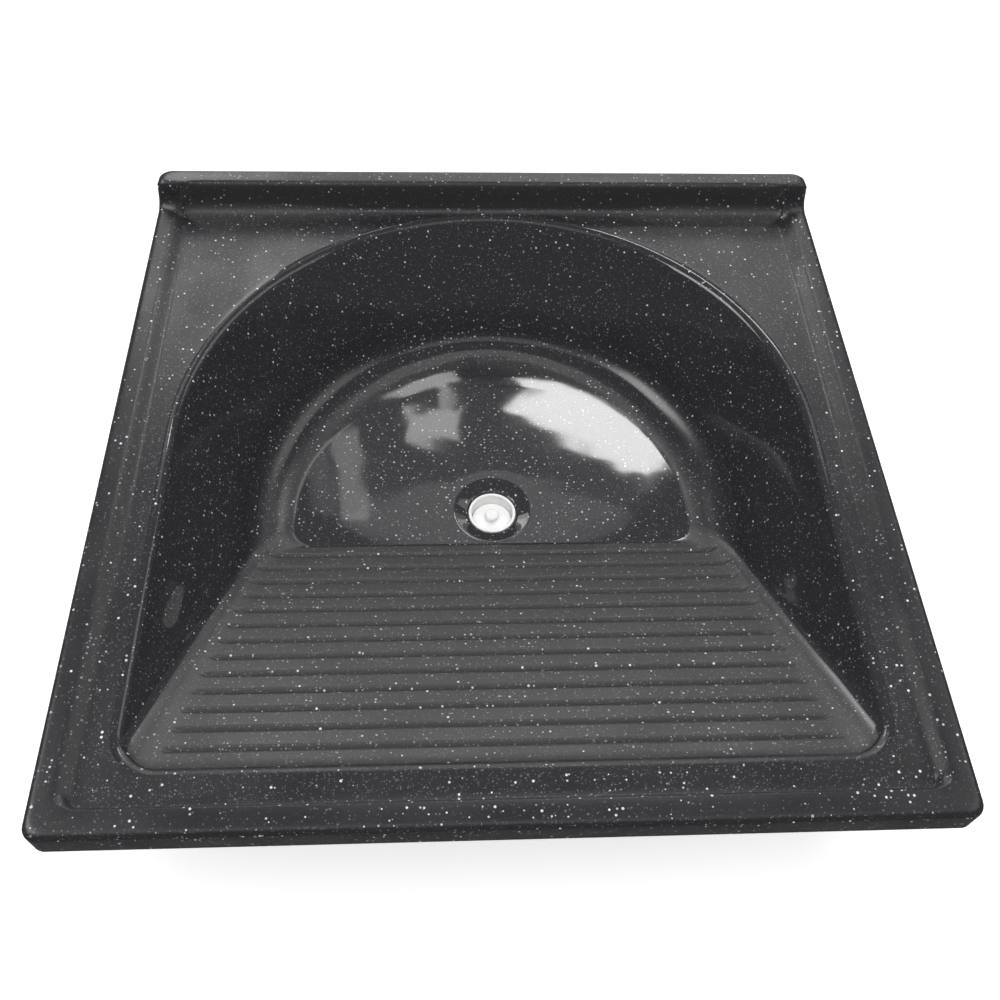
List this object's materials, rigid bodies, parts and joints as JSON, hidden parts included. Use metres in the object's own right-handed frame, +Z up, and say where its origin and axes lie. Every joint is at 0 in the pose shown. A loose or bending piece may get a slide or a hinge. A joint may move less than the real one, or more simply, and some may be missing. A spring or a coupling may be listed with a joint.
{
  "type": "laundry sink",
  "caption": "Square cast laundry sink with a raised rim, a low rear upstand, a round-backed bowl, a sloped grooved washboard and a bottom outlet with a lift-out plug.",
  "frame": {"origin": "middle of the lower back edge, where the plane the skirt rests on meets the plane of the wall", "axes": "+X to the right seen from the front, +Y towards the wall, +Z up"},
  "size_m": [0.6, 0.6, 0.2375],
  "materials": {
    "cast_granite": "polished, black with fine pale flecks",
    "white_plastic": "smooth",
    "black_rubber": "matt",
    "insert_brass": "turned",
    "screw_steel": "plain"
  },
  "bodies": {
    "sink": {"basin": "cast_granite", "threaded_inserts": "insert_brass", "outlet_gasket": "black_rubber", "outlet_body": "white_plastic", "screw_washers": "screw_steel", "outlet_screws": "screw_steel", "tail_seal": "black_rubber", "tail_nut": "white_plastic", "tail_pipe": "white_plastic"},
    "plug": {"plug": "white_plastic", "plug_seal": "black_rubber", "plug_pull": "white_plastic"}
  },
  "joints": [
    {"name": "plug_lift", "type": "slide", "parent": "sink", "child": "plug", "axis": [0, 0, 1], "range_m": [0, 0.16]}
  ]
}
